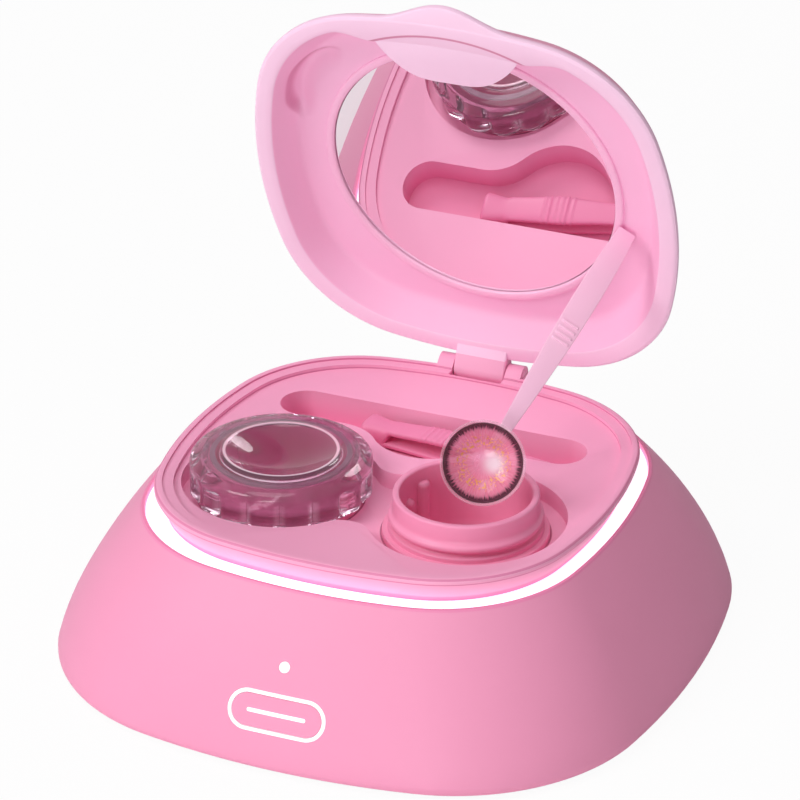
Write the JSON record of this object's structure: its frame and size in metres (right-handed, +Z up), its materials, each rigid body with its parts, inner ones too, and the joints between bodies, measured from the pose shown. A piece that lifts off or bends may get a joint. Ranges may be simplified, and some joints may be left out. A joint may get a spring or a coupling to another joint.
{
  "type": "contact lens cleaner",
  "caption": "Rounded-square tabletop contact lens cleaner with a lit ring, lens wells with a clear screw cap, a tool slot, tweezers, a lens applicator and a hinged mirror lid.",
  "frame": {"origin": "on the surface it stands on, under the middle of the tub", "axes": "+X to the right as seen from the front, +Y from the power key towards the lid's hinge, +Z up"},
  "size_m": [0.1102, 0.1114, 0.1101],
  "materials": {
    "shell_pink": "soft-touch satin",
    "tray_pink": "fine moulded satin",
    "lid_pink": "soft-touch satin",
    "liner_pink": "fine moulded satin",
    "cup_pink": "semi-gloss",
    "tool_pink": "semi-gloss",
    "ring_white": "milky light diffuser",
    "trim_white": "satin",
    "clear": "clear moulded acrylic",
    "lens": "soft hydrogel, tinted iris",
    "mirror": "polished",
    "steel": "bright",
    "magnet": "nickel plated",
    "brass": "plain",
    "rubber": "matt",
    "seal": "translucent silicone",
    "board": "solder mask",
    "black": "moulded",
    "cell": "pouch foil"
  },
  "bodies": {
    "tub": {"housing": "shell_pink", "base_plate": "shell_pink", "rubber_feet": "rubber", "base_screws": "steel", "tray_screws": "steel", "light_ring": "ring_white", "led_strip": "trim_white", "led_chips": "ring_white", "tray": "tray_pink", "tray_magnet": "magnet", "hinge_pin": "steel", "left_cup": "cup_pink", "right_cup": "cup_pink", "cup_lock_rings": "black", "piezo_discs": "brass", "key_frame": "trim_white", "switch_body": "black", "key_board": "board", "indicator_led": "trim_white", "indicator_pipe": "trim_white", "main_board": "board", "usb_socket": "steel", "battery": "cell"},
    "lid": {"lid_shell": "lid_pink", "lid_liner": "liner_pink", "mirror_glass": "mirror", "mirror_bezel": "liner_pink", "petal": "liner_pink", "lid_magnet": "magnet"},
    "key": {"power_key": "shell_pink", "key_dash": "trim_white", "switch_plunger": "black"},
    "seal": {"cap_seal": "seal"},
    "cap": {"clear_cap": "clear"},
    "tweezer": {"tweezers": "tool_pink"},
    "stick": {"applicator": "tool_pink", "contact_lens": "lens"}
  },
  "joints": [
    {"name": "lid_hinge", "type": "hinge", "parent": "tub", "child": "lid", "pos_m": [0, 0.0394, 0.0313], "axis": [-1, 0, 0], "range_deg": [-74.2, 0]},
    {"name": "key_press", "type": "slide", "parent": "tub", "child": "key", "axis": [0, 0.9115, -0.4112], "range_m": [0, 0.0005], "stiffness_N_per_m": 1500},
    {"name": "cap_lift", "type": "slide", "parent": "tub", "child": "seal", "axis": [0, 0, 1], "range_m": [0, 0.02]},
    {"name": "cap_turn", "type": "hinge", "parent": "seal", "child": "cap", "pos_m": [-0.0171, -0.0114, 0.032], "axis": [0, 0, 1], "range_deg": [0, 110]},
    {"name": "tweezer_lift", "type": "slide", "parent": "tub", "child": "tweezer", "axis": [0, 0, 1], "range_m": [0, 0.02]},
    {"name": "stick_away", "type": "slide", "parent": "tub", "child": "stick", "axis": [0.2496, -0.9684, 0], "range_m": [0, 0.1166]}
  ],
  "couplings": [
    {"joint": "stick_away", "follows": "lid_hinge", "m_per_rad": -0.09}
  ]
}
